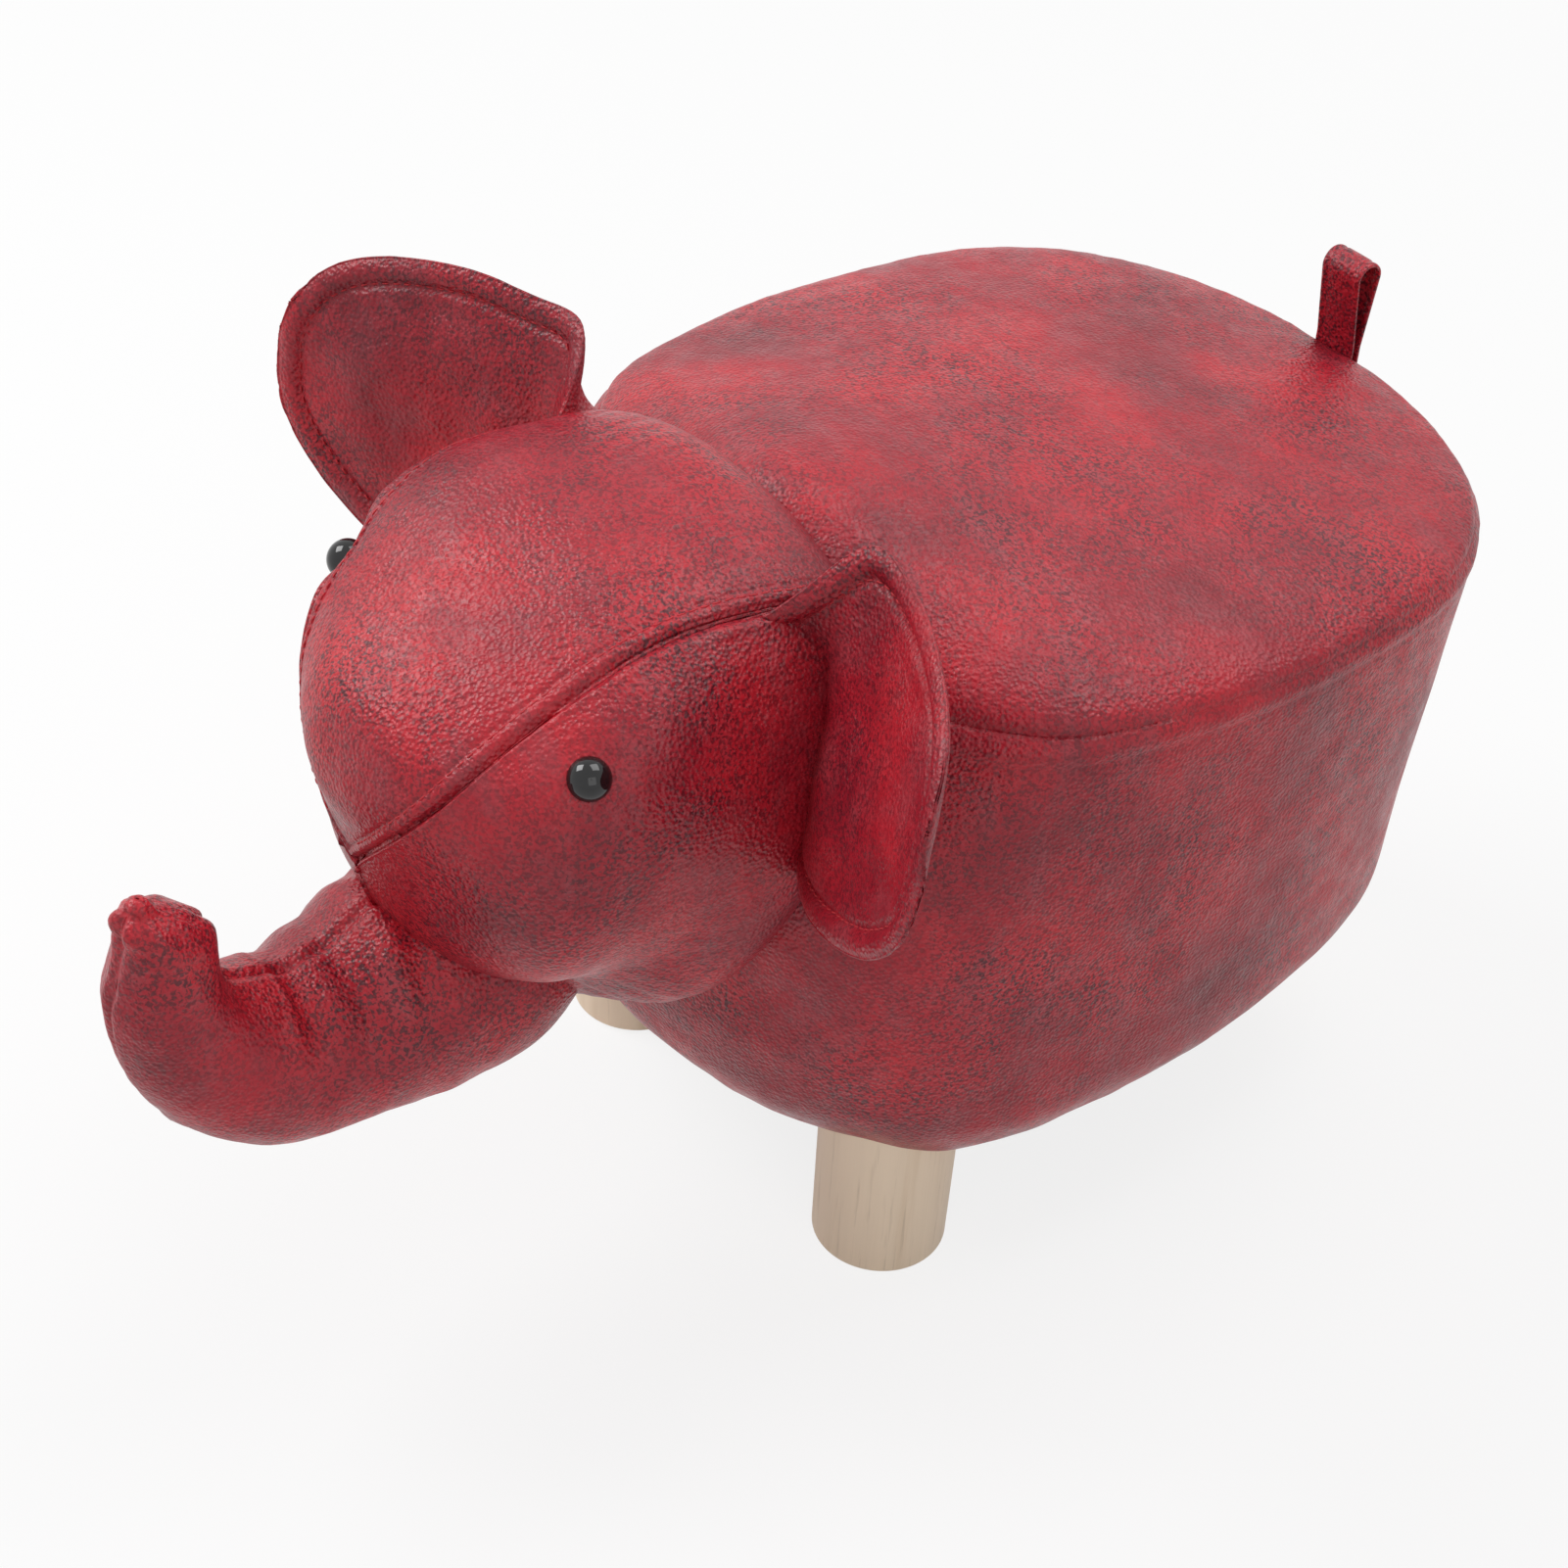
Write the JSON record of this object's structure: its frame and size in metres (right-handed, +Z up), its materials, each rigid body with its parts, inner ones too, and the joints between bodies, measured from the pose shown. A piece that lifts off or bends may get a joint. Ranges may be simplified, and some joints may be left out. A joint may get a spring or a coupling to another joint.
{
  "type": "footstool",
  "caption": "Upholstered elephant footstool: padded drum seat with stuffed head, curled trunk, hinged leaf ears, tail loop and pale turned wooden legs.",
  "frame": {"origin": "on the floor, under the middle of the overall box", "axes": "+Z up; the face and trunk point towards -Y, the tail towards +Y; +X is the animal's left"},
  "size_m": [0.4162, 0.6212, 0.3756],
  "materials": {
    "red_leather": "mottled red faux leather with a pebbled grain",
    "pine": "pale turned pine, clear matt lacquer",
    "plywood": "raw plywood",
    "frame_timber": "raw sawn softwood",
    "hardboard": "raw hardboard",
    "zinc_steel": "bright zinc plate",
    "foam": "open-cell polyurethane foam",
    "stuffing": "white polyester fibre filling",
    "dust_cloth": "black non-woven cloth",
    "eye_plastic": "polished black",
    "washer_plastic": "natural polyethylene"
  },
  "bodies": {
    "stool": {"base_board": "plywood", "cheek_panel_left": "red_leather", "cheek_panel_right": "red_leather", "dust_cover": "dust_cloth", "eye_left": "eye_plastic", "eye_right": "eye_plastic", "eye_washers": "washer_plastic", "forehead_panel": "red_leather", "frame_post_front_left": "frame_timber", "frame_post_front_right": "frame_timber", "frame_post_rear_left": "frame_timber", "frame_post_rear_right": "frame_timber", "frame_screws": "zinc_steel", "hanger_bolts": "zinc_steel", "head_stuffing": "stuffing", "leg_front_left": "pine", "leg_front_right": "pine", "leg_rear_left": "pine", "leg_rear_right": "pine", "seat_foam": "foam", "seat_panel": "red_leather", "side_foam": "foam", "side_panel": "red_leather", "side_wrap": "hardboard", "tee_nuts": "zinc_steel", "top_board": "plywood", "trunk_panel_left": "red_leather", "trunk_panel_right": "red_leather", "trunk_stuffing": "stuffing"},
    "ear_left": {"ear_left_back_panel": "red_leather", "ear_left_front_panel": "red_leather", "ear_left_wadding": "stuffing"},
    "ear_right": {"ear_right_back_panel": "red_leather", "ear_right_front_panel": "red_leather", "ear_right_wadding": "stuffing"},
    "tail": {"tail_loop": "red_leather"}
  },
  "joints": [
    {"name": "ear_left_fold", "type": "hinge", "parent": "stool", "child": "ear_left", "pos_m": [0.10006, -0.05196, 0.29661], "axis": [-0.1217, 0.4461, 0.8867], "range_deg": [-20, 30], "stiffness_Nm_per_rad": 0.4},
    {"name": "ear_right_fold", "type": "hinge", "parent": "stool", "child": "ear_right", "pos_m": [-0.10006, -0.05196, 0.29661], "axis": [-0.1217, -0.4461, -0.8867], "range_deg": [-20, 30], "stiffness_Nm_per_rad": 0.4},
    {"name": "tail_fold", "type": "hinge", "parent": "stool", "child": "tail", "pos_m": [0, 0.30297, 0.3025], "axis": [1, 0, 0], "range_deg": [-85, 55], "stiffness_Nm_per_rad": 0.05}
  ]
}
